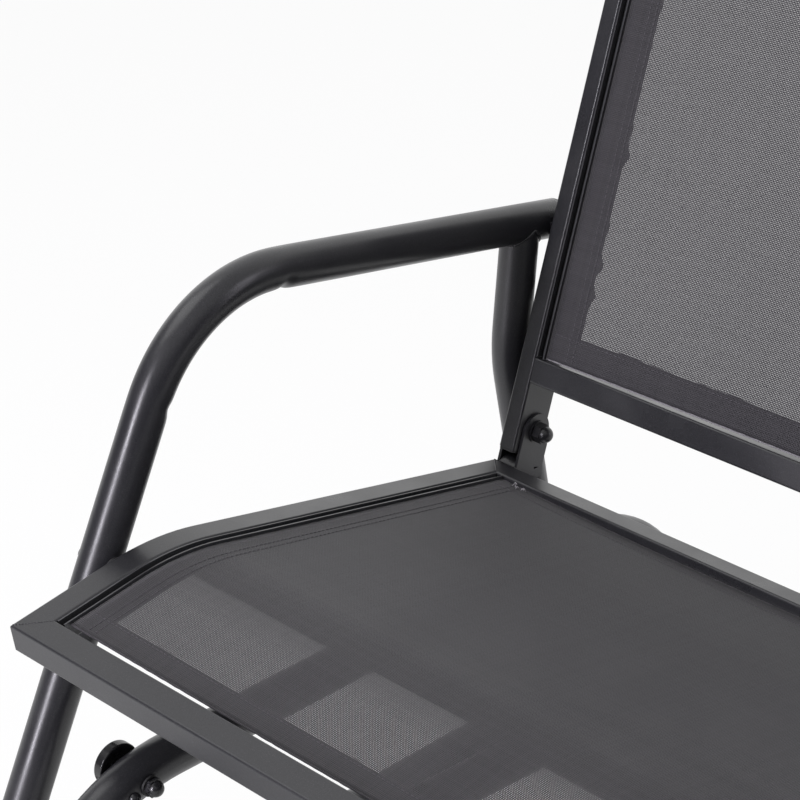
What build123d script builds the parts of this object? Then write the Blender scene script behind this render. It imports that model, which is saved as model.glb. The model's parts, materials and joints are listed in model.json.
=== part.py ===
"""Gliding patio rocking chair: a sling seat hung on four swing links inside a fixed tube base.

Millimetres, +Z up.  The origin is on the floor under the middle of the chair, the sitter faces -Y
and X = 0 is the plane of symmetry.  Left parts are built at -X and mirrored to the right.
"""
from build123d import *
from math import asin, cos, radians, sin, sqrt, tan
import os

# ---- driving dimensions -------------------------------------------------------------------
seatWidth = 620.0           # outside of the seat frame
seatFrontY = -280.0         # front face of the seat frame
seatFrontZ = 425.0          # top edge of the front rail
frontRise = 9.5             # degrees, the front stretch of the side rails climbs backwards
frontRun = 128.5            # level length of that stretch
seatFall = 11.1             # degrees, the rest of the seat falls backwards
seatRearY = 211.5           # rear edge of the seat frame
kneeRadius = 210.0          # bend between the two stretches
railSize = 23.0             # square tube of the seat frame
railWall = 1.5
railCorner = 2.0

armDiameter = 32.0          # arm loops and base tubes
rearLegDiameter = 31.8      # thinner than the armrests, whose tubes they are coped round
crossTubeDiameter = 28.0    # the two tubes between the arm loops' feet
roundWall = 1.2
loopGap = 3.5               # between an arm loop and the seat frame
armPoint = (-104.0, 619.0)  # a point on the armrest's axis (Y, Z)
armFall = 8.77              # degrees, the armrest falls backwards
armRearY = 297.0
armBend = 119.0
legLean = 25.5              # degrees, the front leg leans forwards going down
legPointY = -186.3          # front leg's axis at the height of the front rail's top
loopBottomZ = 92.0
loopBottomBend = 70.0
loopRearY = 358.0
rearLegTop = (259.1, 564.0)
rearLegKnee = (249.0, 451.0)
rearLegFootY = 327.0
rearLegBend = 150.0

archInset = 85.0            # from the seat's side to the plane of each base arch
archTopZ = 328.0            # axis of the arch's level top
archTopHalf = 212.5         # half the length of that level top
archBend = 140.0
archSplay = 12.0            # degrees from upright
archFootGap = 0.05          # where an arch is coped round a foot bar
spliceScrewReach = 15.0     # from the front pivot, along the bend
footBarZ = 22.0
footBarInset = 17.0         # the foot bars are shorter than the seat is wide
footCapLength = 6.0
padLength = 60.0

pivotY = 244.5              # the four links hang at +pivotY and -pivotY
lowerPivotZ = 130.0
hubDiameter = 34.0
hubWidth = 8.0
hubDish = 2.0               # depth of the dish in each face of a hub
hubGap = 1.0                # between a hub and what it turns beside
linkBarWidth = 20.0
linkBarThickness = 5.0
boltRadius = 4.0
screwRadius = 2.5
runningClearance = 0.05
bushWall = 2.5

recline = 17.8              # degrees, the back leans backwards
backFoot = (231.4, 443.2)   # lower front edge of the back's bottom rail (Y, Z)
backLength = 456.5          # from there to the top edge, along the back
stileTail = 58.0            # the stiles reach this far below the bottom rail
stileWidth = 16.0
backDepth = 36.0
backRailHeight = 21.5
backWall = 1.2
backInset = 2.6             # the back is narrower than the seat by this much a side

channelWidth = 8.0
channelDepth = 10.0
channelWall = 1.2
splineDiameter = 4.6
slingThickness = 1.6
slingDrop = 2.5             # sling's face below the rail's face
frontHemGap = 6.0
rearHemGap = 1.5
edgeGap = 0.2               # between the sling and the channel lip

halfSeat = seatWidth / 2
archX = halfSeat - archInset
footBarHalf = halfSeat - footBarInset
loopX = halfSeat + loopGap + armDiameter / 2
stileOuterX = halfSeat - backInset
hubX = archX + armDiameter / 2 + hubGap + hubWidth / 2

nodes = {}


# ---- small tools --------------------------------------------------------------------------
def keep(name, shape):
    nodes[name] = shape


def keepPair(name, shape):
    keep(name + "_left", shape)
    keep(name + "_right", shape.mirror(Plane.YZ))


def bothSides(shapes):
    return list(shapes) + [shape.mirror(Plane.YZ) for shape in shapes]


def group(shapes):
    return Compound(children=list(shapes))


def pathOf(x, points, radii):
    corners = [Vector(x, y, z) for y, z in points]
    return FilletPolyline(*corners, radius=radii)


def sweepAlong(path, sketch):
    return sweep(Plane(origin=path @ 0, x_dir=(1, 0, 0), z_dir=path % 0) * sketch, path=path)


def tubeAlong(path, diameter, wall):
    return sweepAlong(path, Circle(diameter / 2) - Circle(diameter / 2 - wall))


def coreAlong(path, diameter):
    return sweepAlong(path, Circle(diameter / 2))


def rod(start, end, radius):
    line = Vector(*end) - Vector(*start)
    return extrude(Plane(origin=start, z_dir=line) * Circle(radius), line.length)


def barX(x0, x1, y, z, radius):
    return rod((x0, y, z), (x1, y, z), radius)


def boxSection(width, height, corner, wall):
    inner = max(corner - wall, 0.6)
    hole = RectangleRounded(width - 2 * wall, height - 2 * wall, inner)
    return RectangleRounded(width, height, corner) - hole


def plateX(x0, x1, outline):
    """A flat plate of the given (Y, Z) outline, from x0 to x1."""
    face = make_face(Polyline(*[Vector(x0, y, z) for y, z in outline], close=True))
    return extrude(face, amount=x1 - x0, dir=(1, 0, 0))


def boxAt(low, high):
    size = [b - a for a, b in zip(low, high)]
    middle = [(a + b) / 2 for a, b in zip(low, high)]
    return Pos(*middle) * Box(*size)


# ---- fasteners: each is made along +X from its seat at x = 0 ---------------------------------
def washer(radius=8.0, thickness=1.6, hole=4.3):
    return rod((0, 0, 0), (thickness, 0, 0), radius) - rod((-1, 0, 0), (thickness + 1, 0, 0), hole)


def acornNut(cornerRadius=7.3, hexHeight=6.5, domeRadius=6.1):
    hexagon = extrude(Plane.YZ * RegularPolygon(cornerRadius, 6), hexHeight)
    dome = Pos(hexHeight, 0, 0) * Sphere(domeRadius)
    domeHalf = dome & boxAt((hexHeight - 0.5, -9, -9), (hexHeight + 9, 9, 9))
    return hexagon + domeHalf - rod((-1, 0, 0), (hexHeight + 1.5, 0, 0), boltRadius + 0.1)


def domedBolt(length):
    """Button head at x <= 0, shank running to x = length."""
    headRadius = 7.5
    headHeight = 4.5
    ball = (headRadius ** 2 + headHeight ** 2) / (2 * headHeight)
    cap = Pos(ball - headHeight, 0, 0) * Sphere(ball)
    head = cap & boxAt((-headHeight - 1, -9, -9), (0, 9, 9))
    socket = extrude(Plane.YZ.offset(-headHeight - 1) * RegularPolygon(2.9, 6), 3.6)
    return head - socket + rod((-0.5, 0, 0), (length, 0, 0), boltRadius)


def lowBolt(length):
    """A bolt with a thin flat head, its edge rounded."""
    headRadius = 6.5
    headHeight = 1.4
    head = rod((-headHeight, 0, 0), (0, 0, 0), headRadius)
    head = fillet(head.edges().filter_by(GeomType.CIRCLE).sort_by(Axis.X)[0], 1.0)
    return head + rod((-0.5, 0, 0), (length, 0, 0), boltRadius)


def domedScrew(length):
    """A smaller screw of the same form."""
    headRadius = 4.8
    head = Sphere(headRadius) & boxAt((-9, -9, -9), (0, 9, 9))
    slot = boxAt((-9, -0.6, -9), (-headRadius + 1.2, 0.6, 9))
    return head - slot + rod((-0.5, 0, 0), (length, 0, 0), screwRadius)


def insertNut():
    """A plain round nut that sits inside a tube."""
    return rod((0, 0, 0), (9, 0, 0), 5.2) - rod((-1, 0, 0), (8, 0, 0), boltRadius + 0.1)


def placeX(shape, x, y, z, towards=1):
    """Puts a fastener at (x, y, z); towards = -1 turns it to run along -X."""
    if towards < 0:
        shape = Rot(0, 0, 180) * shape
    return Pos(x, y, z) * shape


# ---- shared lines ---------------------------------------------------------------------------
armSlope = tan(radians(armFall))
leanSlope = tan(radians(legLean))


def armZ(y):
    return armPoint[1] - armSlope * (y - armPoint[0])


def frontLegY(z):
    return legPointY + leanSlope * (z - seatFrontZ)


armCornerZ = (armPoint[1] - armSlope * (legPointY - leanSlope * seatFrontZ - armPoint[0])) \
    / (1 + armSlope * leanSlope)
armCorner = (frontLegY(armCornerZ), armCornerZ)
loopCorner = (frontLegY(loopBottomZ), loopBottomZ)
armPath = pathOf(-loopX, [(armRearY, armZ(armRearY)), armCorner, loopCorner,
                          (loopRearY, loopBottomZ)], [armBend, loopBottomBend])
armCore = coreAlong(armPath, armDiameter)

rearLegPath = pathOf(-loopX, [rearLegTop, rearLegKnee, (rearLegFootY, loopBottomZ)], [rearLegBend])

archCornerY = archTopHalf + archBend * tan(radians(90 - archSplay) / 2)
footBarY = archCornerY + (archTopZ - footBarZ) * tan(radians(archSplay))
archPath = pathOf(-archX, [(-footBarY, footBarZ), (-archCornerY, archTopZ),
                           (archCornerY, archTopZ), (footBarY, footBarZ)], [archBend, archBend])
archCore = coreAlong(archPath, armDiameter)
upperPivotZ = archTopZ - archBend + sqrt(archBend ** 2 - (pivotY - archTopHalf) ** 2)

kneeY = seatFrontY + frontRun
kneeZ = seatFrontZ + frontRun * tan(radians(frontRise))
seatRearZ = kneeZ - (seatRearY - kneeY) * tan(radians(seatFall))


def seatLine(drop, fromFront=0.0, fromRear=0.0):
    """Points of the seat's side line, sunk by drop at right angles to each stretch."""
    rise, fall = radians(frontRise), radians(seatFall)
    bisect = (rise - fall) / 2
    sunk = drop / cos((rise + fall) / 2)
    start = (seatFrontY + drop * sin(rise) + fromFront * cos(rise),
             seatFrontZ - drop * cos(rise) + fromFront * sin(rise))
    knee = (kneeY + sunk * sin(bisect), kneeZ - sunk * cos(bisect))
    end = (seatRearY - drop * sin(fall) - fromRear * cos(fall),
           seatRearZ - drop * cos(fall) + fromRear * sin(fall))
    return [start, knee, end]


def seatTopZ(y):
    if y < kneeY:
        return seatFrontZ + (y - seatFrontY) * tan(radians(frontRise))
    return kneeZ - (y - kneeY) * tan(radians(seatFall))


def backPoint(along, behind=0.0):
    """A (Y, Z) point on the back: along it from its foot, and behind its front face."""
    lean = radians(recline)
    return (backFoot[0] + along * sin(lean) + behind * cos(lean),
            backFoot[1] + along * cos(lean) - behind * sin(lean))


# ---- base: arches, foot bars, caps and pads --------------------------------------------------
def footBarCore(y, grown=0.0):
    return barX(-footBarHalf, footBarHalf, y, footBarZ, armDiameter / 2 + grown)


def makeBase():
    arch = tubeAlong(archPath, armDiameter, roundWall)
    for y in (-footBarY, footBarY):
        arch -= footBarCore(y, archFootGap)
    arch = arch.solids().sort_by(SortBy.VOLUME)[-1]
    for y in (-pivotY, pivotY):
        arch -= barX(-archX - 20, -archX + 20, y, upperPivotZ, boltRadius + 0.1)
    arch -= barX(-archX, -archX + 20, *studPlace(), screwRadius + 0.1)
    keepPair("arch", arch)

    for name, y in (("foot_bar_front", -footBarY), ("foot_bar_rear", footBarY)):
        bore = barX(-footBarHalf - 1, footBarHalf + 1, y, footBarZ, armDiameter / 2 - roundWall)
        keep(name, footBarCore(y) - bore)

    caps, pads = [], []
    for y in (-footBarY, footBarY):
        face = barX(-footBarHalf - footCapLength, -footBarHalf, y, footBarZ, armDiameter / 2)
        face = fillet(face.edges().sort_by(Axis.X)[0], 3.0)
        plug = barX(-footBarHalf, -footBarHalf + 18, y, footBarZ, armDiameter / 2 - roundWall - 0.05)
        caps.append(face + plug)
        low = (-footBarHalf + 20, y - 15, 0)
        high = (-footBarHalf + 20 + padLength, y + 15, footBarZ - 4)
        pad = boxAt(low, high)
        pad = fillet(pad.edges().filter_by(Axis.Z), 5.0)
        pads.append(pad - footBarCore(y))
    keep("foot_end_caps", group(bothSides(caps)))
    keep("foot_pads", group(bothSides(pads)))


def studPlace():
    """The arch's splice screw, on the front bend just below the pivot."""
    turn = asin((pivotY - archTopHalf) / archBend) + spliceScrewReach / archBend
    return (-(archTopHalf + archBend * sin(turn)), archTopZ - archBend * (1 - cos(turn)))


def makeUpperPivots():
    inside = -(archX - armDiameter / 2)
    outside = -(hubX + hubWidth / 2 + hubGap)
    bolts, nuts, rings = [], [], []
    for y in (-pivotY, pivotY):
        length = inside - outside + 1.6 + 5.0
        bolts.append(placeX(domedBolt(length), outside, y, upperPivotZ))
        nuts.append(placeX(acornNut(hexHeight=4.0), inside + 1.7, y, upperPivotZ))
        rings.append(placeX(washer(), inside + 0.05, y, upperPivotZ))
        rings.append(placeX(washer(7.0, hubGap - 0.3), outside + 0.1, y, upperPivotZ))
        rings.append(placeX(washer(7.0, hubGap - 0.3), -(archX + armDiameter / 2 + 0.05), y,
                            upperPivotZ, -1))
    keep("upper_pivot_bolts", group(bothSides(bolts)))
    keep("upper_pivot_nuts", group(bothSides(nuts)))
    keep("upper_pivot_washers", group(bothSides(rings)))
    y, z = studPlace()
    screw = placeX(domedScrew(14.0), inside + 0.05, y, z, -1)
    keep("arch_splice_screws", group(bothSides([screw])))


# ---- swing links ---------------------------------------------------------------------------
def makeLink(y):
    """A flat bar between two dished hubs, at the left side."""
    half = hubWidth / 2
    hubRadius = hubDiameter / 2
    middle = -hubX
    bar = boxAt((middle - linkBarThickness / 2, y - linkBarWidth / 2, lowerPivotZ),
                (middle + linkBarThickness / 2, y + linkBarWidth / 2, upperPivotZ))
    link = bar
    for z in (lowerPivotZ, upperPivotZ):
        hub = barX(middle - half, middle + half, y, z, hubRadius)
        hub = fillet(hub.edges().filter_by(GeomType.CIRCLE), 1.2)
        link += hub
    for z in (lowerPivotZ, upperPivotZ):
        for side in (-1, 1):
            face = middle + side * half
            dish = barX(face - side * hubDish, face + side, y, z, hubRadius - 3.5)
            boss = barX(face - side * hubDish, face, y, z, boltRadius + bushWall + 2.0)
            link -= dish - boss
        link -= barX(middle - half - 1, middle + half + 1, y, z, boltRadius + bushWall)
    return link


def makeBush(y, z):
    outer = boltRadius + bushWall
    half = hubWidth / 2
    sleeve = barX(-hubX - half, -hubX + half, y, z, outer - 0.01)
    return sleeve - barX(-hubX - half - 1, -hubX + half + 1, y, z, boltRadius + runningClearance)


def makeLinks():
    for end, y in (("front", -pivotY), ("rear", pivotY)):
        keepPair("link_" + end, makeLink(y))
        bushes = [makeBush(y, z) for z in (lowerPivotZ, upperPivotZ)]
        keep("link_bushes_" + end, group(bothSides(bushes)))


# ---- arm loops, rear legs and the lower cross tubes -------------------------------------------
seatBolt = (frontLegY(seatTopZ(legPointY) - 11.0), seatTopZ(legPointY) - 11.0)


def rearLegY(z):
    slope = (rearLegFootY - rearLegKnee[0]) / (rearLegKnee[1] - loopBottomZ)
    return rearLegKnee[0] + slope * (rearLegKnee[1] - z)


tieBoltZ = seatFrontZ - 122.0
tieBolt = (rearLegY(tieBoltZ), tieBoltZ)
armBoltBehind = 22.0        # behind the back's front face, clear of the sling channel
armBoltsAlong = (76.0, 103.0)
armPlateAlong = (62.0, 142.0)
armPlateBehind = (11.0, 33.0)
armPlateThickness = 5.0


def crossCore(y):
    return barX(-loopX, loopX, y, loopBottomZ, crossTubeDiameter / 2)


def makeLoops():
    arm = tubeAlong(armPath, armDiameter, roundWall)
    arm -= barX(-loopX - 20, -loopX + 20, *seatBolt, boltRadius + 0.1)
    keepPair("arm_loop", arm)

    leg = tubeAlong(rearLegPath, rearLegDiameter, roundWall) - armCore
    leg = leg.solids().sort_by(SortBy.VOLUME)[-1]
    leg -= barX(-loopX, -loopX + 20, tieBolt[0], tieBolt[1], boltRadius + 0.1)
    keepPair("rear_leg", leg)

    for name, y in (("lower_cross_tube_front", -pivotY), ("lower_cross_tube_rear", pivotY)):
        bore = barX(-loopX, loopX, y, loopBottomZ, crossTubeDiameter / 2 - roundWall)
        keep(name, crossCore(y) - bore - armCore - armCore.mirror(Plane.YZ))

    plugs = [tubePlug(armPath @ 0, armPath % 0, armDiameter),
             tubePlug(armPath @ 1, (armPath % 1) * -1, armDiameter)]
    keep("tube_end_plugs", group(bothSides(plugs) + [centrePlug()]))


def tubePlug(at, along, diameter):
    """A plug with a rounded cover, in the end of a round tube that runs along the given way."""
    head = extrude(Plane(origin=at, z_dir=Vector(along) * -1) * Circle(diameter / 2), 4.0)
    head = fillet(head.edges().filter_by(GeomType.CIRCLE).sort_by_distance(at)[-1], 2.5)
    inner = diameter / 2 - roundWall - 0.05
    return head + extrude(Plane(origin=at, z_dir=along) * Circle(inner), 14.0)


def makeClevises():
    plate = 4.0
    topRadius = 14.0
    inner = hubX - hubWidth / 2 - hubGap
    outer = hubX + hubWidth / 2 + hubGap
    bolts, nuts = [], []
    for end, y in (("front", -pivotY), ("rear", pivotY)):
        block = boxAt((-outer - plate, y - topRadius, loopBottomZ),
                      (-inner + plate, y + topRadius, lowerPivotZ))
        block += barX(-outer - plate, -inner + plate, y, lowerPivotZ, topRadius)
        slot = boxAt((-outer, y - 40, loopBottomZ + crossTubeDiameter / 2 + 3.5),
                     (-inner, y + 40, lowerPivotZ + 40))
        block -= slot
        block -= crossCore(y)
        block -= barX(-outer - 20, -inner + 20, y, lowerPivotZ, boltRadius + 0.1)
        block = block.solids().sort_by(Axis.Z)[-1]
        keepPair("link_clevis_" + end, block)
        length = outer - inner + 2 * plate + 6.5
        bolts.append(placeX(domedBolt(length), -outer - plate - 0.05, y, lowerPivotZ))
        nuts.append(placeX(acornNut(), -inner + plate + 0.05, y, lowerPivotZ))
    keep("lower_pivot_bolts", group(bothSides(bolts)))
    keep("lower_pivot_nuts", group(bothSides(nuts)))


# ---- seat frame -----------------------------------------------------------------------------
def mitreWedge(cornerY, cornerZ, tilt, inward, keepSide):
    """Half-space block at the left corner of the seat frame; its face is the 45 degree mitre.

    tilt is the frame's slope there in degrees and inward is +1 at the front, -1 at the rear.
    keepSide names the piece that the block removes: "side" or "cross".
    """
    size = 200.0
    corner = Vector(-halfSeat, cornerY, cornerZ)
    turn = 45.0 * inward
    block = Box(size, size, size, align=(Align.CENTER, Align.MAX, Align.CENTER))
    if (keepSide == "cross") == (inward > 0):
        block = Box(size, size, size, align=(Align.CENTER, Align.MIN, Align.CENTER))
    return Pos(*corner) * Rot(tilt, 0, 0) * Rot(0, 0, turn) * block


def crossRail(cornerY, cornerZ, tilt, inward):
    section = boxSection(railSize, railSize, railCorner, railWall)
    local = Plane(origin=(-halfSeat, inward * railSize / 2, -railSize / 2), x_dir=(0, 1, 0),
                  z_dir=(1, 0, 0))
    rail = extrude(local * section, seatWidth)
    rail = Pos(0, cornerY, cornerZ) * Rot(tilt, 0, 0) * rail
    wedge = mitreWedge(cornerY, cornerZ, tilt, inward, "cross")
    return rail - wedge - wedge.mirror(Plane.YZ)


def makeSeatFrame():
    line = seatLine(railSize / 2)
    path = pathOf(-halfSeat + railSize / 2, line, [kneeRadius])
    side = sweepAlong(path, boxSection(railSize, railSize, railCorner, railWall))
    side -= mitreWedge(seatFrontY, seatFrontZ, frontRise, 1, "side")
    side -= mitreWedge(seatRearY, seatRearZ, -seatFall, -1, "side")
    side -= barX(-halfSeat - 5, -halfSeat + 5, *seatBolt, boltRadius + 0.1)
    keepPair("seat_side_rail", side)
    keep("seat_front_rail", crossRail(seatFrontY, seatFrontZ, frontRise, 1))
    keep("seat_rear_rail", crossRail(seatRearY, seatRearZ, -seatFall, -1))
    makeSeatSupports()


crossRadius = 11.0          # the two cross tubes under the side rails
centreDiameter = 28.0       # the tube under them, along the middle
supportY = (-104.0, 105.0)
centreDrop = 36.5           # the middle tube's axis at its front end, below the front rail's top


def supportZ(y):
    return seatTopZ(y) - (railSize + crossRadius) / cos(radians(seatFall)) - 0.05


def centrePath():
    front, rear = supportY
    touch = crossRadius + centreDiameter / 2 + 0.1
    points = [(seatFrontY + 5.0, seatFrontZ - centreDrop), (front, supportZ(front) - touch),
              (rear, supportZ(rear))]
    return pathOf(0.0, points, [400.0])


def centrePlug():
    path = centrePath()
    return tubePlug(path @ 0, path % 0, centreDiameter)


def makeSeatSupports():
    """Two cross tubes under the side rails, and a centre tube under them."""
    for name, y in zip(("front", "rear"), supportY):
        tube = barX(-halfSeat + 2, halfSeat - 2, y, supportZ(y), crossRadius)
        tube -= barX(-halfSeat + 1, halfSeat - 1, y, supportZ(y), crossRadius - roundWall)
        keep("seat_cross_tube_" + name, tube)
    centre = tubeAlong(centrePath(), centreDiameter, roundWall)
    frontRail = Pos(0, seatFrontY, seatFrontZ) * Rot(frontRise, 0, 0) * boxAt(
        (-40, -40, -railSize), (40, railSize, 60))
    centre -= frontRail
    for y in supportY:
        centre -= barX(-40, 40, y, supportZ(y), crossRadius + 0.02)
    centre = centre.solids().sort_by(SortBy.VOLUME)[-1]
    keep("seat_centre_tube", centre)


def channelSection():
    """A channel that opens upwards; its wall on the +X side of the section is the lip."""
    outside = Rectangle(channelWidth, channelDepth, align=(Align.MIN, Align.MAX))
    inside = Pos(channelWall, 0) * Rectangle(channelWidth - 2 * channelWall,
                                             channelDepth - channelWall,
                                             align=(Align.MIN, Align.MAX))
    return outside - inside


def lineUp(path, sketch, acrossSign=1):
    """Sweeps a section whose local X runs along world X and local Y runs up from the line."""
    start = path @ 0
    along = path % 0
    across = Vector(acrossSign, 0, 0)
    return sweep(Plane(origin=start, x_dir=across, z_dir=along) * sketch, path=path)


def makeSeatSling():
    innerX = -halfSeat + railSize
    path = pathOf(innerX, seatLine(0.8, railSize + 1, railSize + 1), [kneeRadius])
    up = -1 if (Plane(origin=path @ 0, x_dir=(1, 0, 0), z_dir=path % 0).y_dir.Z < 0) else 1
    section = channelSection()
    if up < 0:
        section = section.mirror(Plane.XZ)
    keepPair("seat_channel", lineUp(path, section))

    middle = innerX + channelWidth / 2
    deep = 0.8 + channelDepth - channelWall - splineDiameter / 2 - 0.2
    splinePath = pathOf(middle, seatLine(deep, railSize + 3, railSize + 3), [kneeRadius])
    keepPair("seat_spline", coreAlong(splinePath, splineDiameter))

    half = -innerX - channelWidth - edgeGap
    drop = slingDrop + slingThickness / 2
    slingPath = pathOf(0.0, seatLine(drop, railSize + frontHemGap, railSize + rearHemGap),
                       [kneeRadius])
    keep("seat_sling", sweepAlong(slingPath, Rectangle(2 * half, slingThickness)))


# ---- back -----------------------------------------------------------------------------------
def backPlane(x, along, behind):
    """A plane on the back: local X runs across it, local Y to the rear and Z up the back."""
    y, z = backPoint(along, behind)
    lean = radians(recline)
    return Plane(origin=(x, y, z), x_dir=(1, 0, 0), z_dir=(0, sin(lean), cos(lean)))


def backBlock(x0, x1, along0, along1, behind0, behind1, corner=0.0, wall=0.0):
    """A bar that runs up the back, hollow when it has a wall."""
    place = backPlane((x0 + x1) / 2, along0, (behind0 + behind1) / 2)
    width, depth = x1 - x0, behind1 - behind0
    section = boxSection(width, depth, corner, wall) if wall else Rectangle(width, depth)
    return extrude(place * section, along1 - along0)


def backBar(x0, x1, along, height, wall):
    """A bar that runs across the back, its lower edge at the given place."""
    y, z = backPoint(along + height / 2, backDepth / 2)
    lean = radians(recline)
    place = Plane(origin=(x0, y, z), x_dir=(0, sin(lean), cos(lean)), z_dir=(1, 0, 0))
    return extrude(place * boxSection(height, backDepth, railCorner, wall), x1 - x0)


def backRodX(x0, x1, along, behind, radius):
    y, z = backPoint(along, behind)
    return barX(x0, x1, y, z, radius)


bracketBoltAlong = -41.0
bracketBoltBehind = 21.0


def makeBackFrame():
    inner = -stileOuterX + stileWidth
    stile = backBlock(-stileOuterX, inner, -stileTail, backLength, 0, backDepth,
                      railCorner, backWall)
    top = backBar(-stileOuterX, stileOuterX, backLength - backRailHeight, backRailHeight, backWall)
    mitre = topMitre()
    stile -= mitre["stile"]
    top = top - mitre["rail"] - mitre["rail"].mirror(Plane.YZ)
    stile -= backRodX(-stileOuterX - 5, inner + 5, bracketBoltAlong, bracketBoltBehind,
                      boltRadius + 0.1)
    for along in armBoltsAlong:
        stile -= backRodX(-stileOuterX - 5, -stileOuterX + 5, along, armBoltBehind, boltRadius + 0.1)
    keepPair("back_stile", stile)
    keep("back_top_rail", top)
    keep("back_bottom_rail", backBar(inner, -inner, 0.0, backRailHeight, backWall))
    place = backPlane(-stileOuterX + stileWidth / 2, -stileTail, backDepth / 2)
    inside = 2 * (backWall + 0.05)
    plug = extrude(place * RectangleRounded(stileWidth - inside, backDepth - inside, 1.4), 10)
    cover = extrude(place * RectangleRounded(stileWidth - 0.6, backDepth - 0.6, 2.2), -2)
    keep("stile_end_plugs", group(bothSides([plug + cover])))


def topMitre():
    """The blocks that the left stile and the top rail lose at their mitred corner."""
    drop = backRailHeight
    outerY, outerZ = backPoint(backLength, 0)
    innerY, innerZ = backPoint(backLength - drop, 0)
    outerX, innerX = -stileOuterX, -stileOuterX + stileWidth
    lean = radians(recline)
    rearward = Vector(0, cos(lean), -sin(lean))
    up = Vector(0, sin(lean), cos(lean))
    a = Vector(outerX, outerY, outerZ) - rearward * backDepth
    b = Vector(innerX, innerY, innerZ) - rearward * backDepth
    run = b - a
    a, b = a - run, b + run
    stileFace = make_face(Polyline(a, b, b + up * 90, a + up * 60, close=True))
    railFace = make_face(Polyline(a, b, b - up * 60, a - up * 90, close=True))
    return {"stile": extrude(stileFace, amount=3 * backDepth, dir=rearward),
            "rail": extrude(railFace, amount=3 * backDepth, dir=rearward)}


def makeBackSling():
    inner = -stileOuterX + stileWidth
    low, high = backRailHeight + 0.5, backLength - backRailHeight - 0.5
    front = 0.8
    channel = backBlock(inner, inner + channelWidth, low, high, front, front + channelDepth)
    channel -= backBlock(inner + channelWall, inner + channelWidth - channelWall, low - 1, high + 1,
                         front - 1, front + channelDepth - channelWall)
    keepPair("back_channel", channel)
    middle = inner + channelWidth / 2
    deep = front + channelDepth - channelWall - splineDiameter / 2 - 0.2
    spline = extrude(backPlane(middle, low + 2, deep) * Circle(splineDiameter / 2), high - low - 4)
    keepPair("back_spline", spline)
    half = -inner - channelWidth - edgeGap
    keep("back_sling", backBlock(-half, half, low + 1.0, high - 1.0, slingDrop,
                                 slingDrop + slingThickness))


# ---- brackets that hold the stiles to the seat frame and the rear legs -------------------------
bracketPlate = 2.5
bracketFit = 0.15           # between the bracket and the stile inside it
bracketFront = 6.0          # its front edges stand this far behind the back's front face


def makeBrackets():
    outer = -stileOuterX - bracketFit
    inner = -stileOuterX + stileWidth + bracketFit
    low, high = outer - bracketPlate, inner + bracketPlate
    bolt = backPoint(bracketBoltAlong, bracketBoltBehind)
    web = backDepth + bracketFit
    radius = bracketBoltBehind - bracketFront
    bottom = -stileTail - 14.0

    def ear(x0, x1):
        corners = [backPoint(bracketBoltAlong, bracketFront),
                   backPoint(bracketBoltAlong, bracketBoltBehind + radius),
                   backPoint(bracketBoltAlong - 12, web + bracketPlate),
                   backPoint(bottom, web + bracketPlate),
                   backPoint(bottom, bracketFront)]
        return barX(x0, x1, *bolt, radius) + plateX(x0, x1, corners)

    bracket = ear(low, outer) + ear(inner, high)
    back = [backPoint(bracketBoltAlong - 12, web), backPoint(bracketBoltAlong - 12, web + bracketPlate),
            backPoint(bottom, web + bracketPlate), backPoint(bottom, web)]
    bracket += plateX(low, high, back)
    bracket += bracketFoot(low, high, bottom)
    bracket += tiePlate(low, outer)
    bracket -= barX(outer - 20, inner + 20, *bolt, boltRadius + 0.1)
    bracket -= barX(outer - 20, outer + 5, *tieBolt, boltRadius + 0.1)
    keepPair("back_bracket", bracket)
    makeFrameBolts(low, high, bolt)


def bracketFoot(low, high, bottom):
    """The round-topped foot between the seat's rear face and the stile's bracket."""
    fall = radians(seatFall)
    radius = 12.5
    railFace = (seatRearY + 0.05, seatRearZ - 0.3)
    railLow = (seatRearY + 0.05 - railSize * sin(fall), seatRearZ - railSize * cos(fall))
    middle = (seatRearY + 0.05 + radius, seatRearZ - 11.0)
    rear = backPoint(bottom + 1, backDepth + bracketFit + bracketPlate)
    outline = [railFace, middle, rear, (rear[0], railLow[1] + 2), railLow]
    crown = barX(low, high, *middle, radius - 0.05)
    return crown + plateX(low, high, outline)


def tiePlate(low, outer):
    """The arm of the bracket that reaches back to the rear leg."""
    y, z = tieBolt
    start = (seatRearY + 4.0, seatRearZ - railSize + 2.0)
    outline = [start, (start[0] + 26.0, start[1] - 3.0), (y + 4.0, z + 9.0), (y, z - 9.5),
               (start[0], start[1] - 16.0)]
    return plateX(low, outer, outline) + barX(low, outer, y, z, 9.5)


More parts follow.
